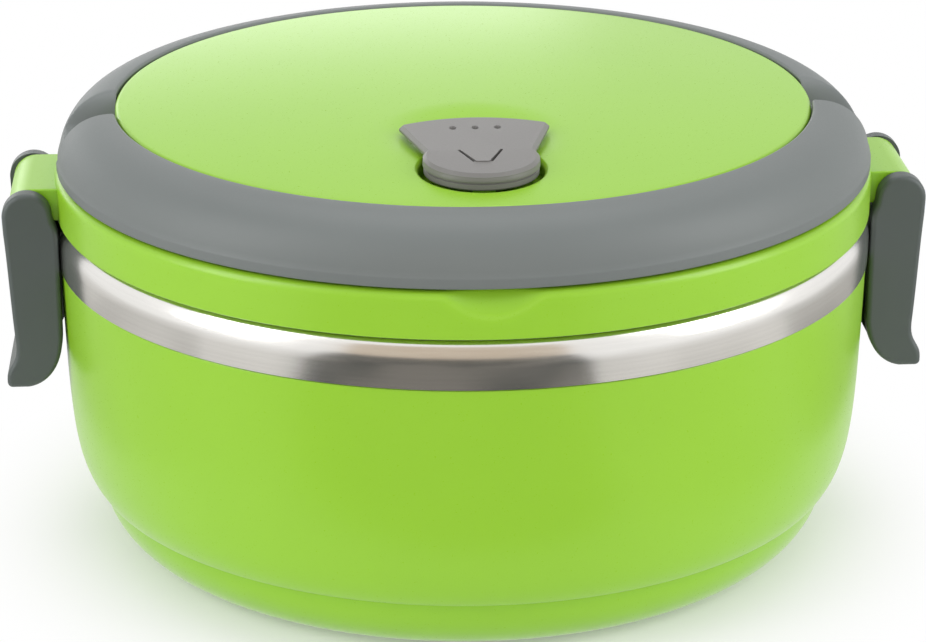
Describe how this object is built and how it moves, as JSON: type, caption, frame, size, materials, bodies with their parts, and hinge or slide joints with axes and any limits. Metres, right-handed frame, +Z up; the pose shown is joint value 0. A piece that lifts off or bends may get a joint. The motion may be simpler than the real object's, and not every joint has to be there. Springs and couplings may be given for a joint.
{
  "type": "insulated food container",
  "caption": "Round insulated lunch container: plastic shell, stainless liner with polished rim, domed clip-down lid, folding carry handle and a lift-up vent valve.",
  "frame": {"origin": "centre of the base, on the plane that it stands on", "axes": "+Z up through the lid, +X towards the right clip, -Y towards the front where the handle lies and the valve sits"},
  "size_m": [0.1704, 0.1506, 0.085],
  "materials": {
    "shell_plastic": "yellow-green moulded plastic, satin gloss",
    "handle_plastic": "mid grey moulded plastic, satin",
    "clip_plastic": "dark grey moulded plastic, satin",
    "valve_plastic": "warm grey moulded plastic, satin",
    "inner_plastic": "natural white moulded plastic",
    "silicone": "translucent white silicone",
    "stainless": "polished stainless steel"
  },
  "bodies": {
    "base": {"outer_shell": "shell_plastic", "steel_liner": "stainless", "catch_right": "clip_plastic", "catch_left": "clip_plastic", "catch_rivet_right_front": "stainless", "catch_rivet_right_rear": "stainless", "catch_rivet_left_front": "stainless", "catch_rivet_left_rear": "stainless"},
    "lid": {"lid_cover": "shell_plastic", "lid_inner_cover": "inner_plastic", "lid_seal": "silicone", "rear_trim": "handle_plastic", "handle_pin_right": "stainless", "handle_pin_left": "stainless", "clip_pin_right": "stainless", "clip_pin_left": "stainless", "valve_pin": "stainless"},
    "handle": {"carry_handle": "handle_plastic"},
    "right_clip": {"clip_right": "clip_plastic"},
    "left_clip": {"clip_left": "clip_plastic"},
    "valve": {"valve_lever": "valve_plastic", "valve_stopper": "silicone"}
  },
  "joints": [
    {"name": "lid_lift", "type": "slide", "parent": "base", "child": "lid", "axis": [0, 0, 1], "range_m": [0, 0.06]},
    {"name": "handle_swing", "type": "hinge", "parent": "lid", "child": "handle", "pos_m": [0, -0.002, 0.0759], "axis": [-1, 0, 0], "range_deg": [0, 90]},
    {"name": "right_clip_swing", "type": "hinge", "parent": "lid", "child": "right_clip", "pos_m": [0.08, 0, 0.0647], "axis": [0, -1, 0], "range_deg": [0, 110]},
    {"name": "left_clip_swing", "type": "hinge", "parent": "lid", "child": "left_clip", "pos_m": [-0.08, 0, 0.0647], "axis": [0, 1, 0], "range_deg": [0, 110]},
    {"name": "valve_lift", "type": "hinge", "parent": "lid", "child": "valve", "pos_m": [0, -0.0536, 0.0828], "axis": [1, 0, 0], "range_deg": [0, 55]}
  ]
}
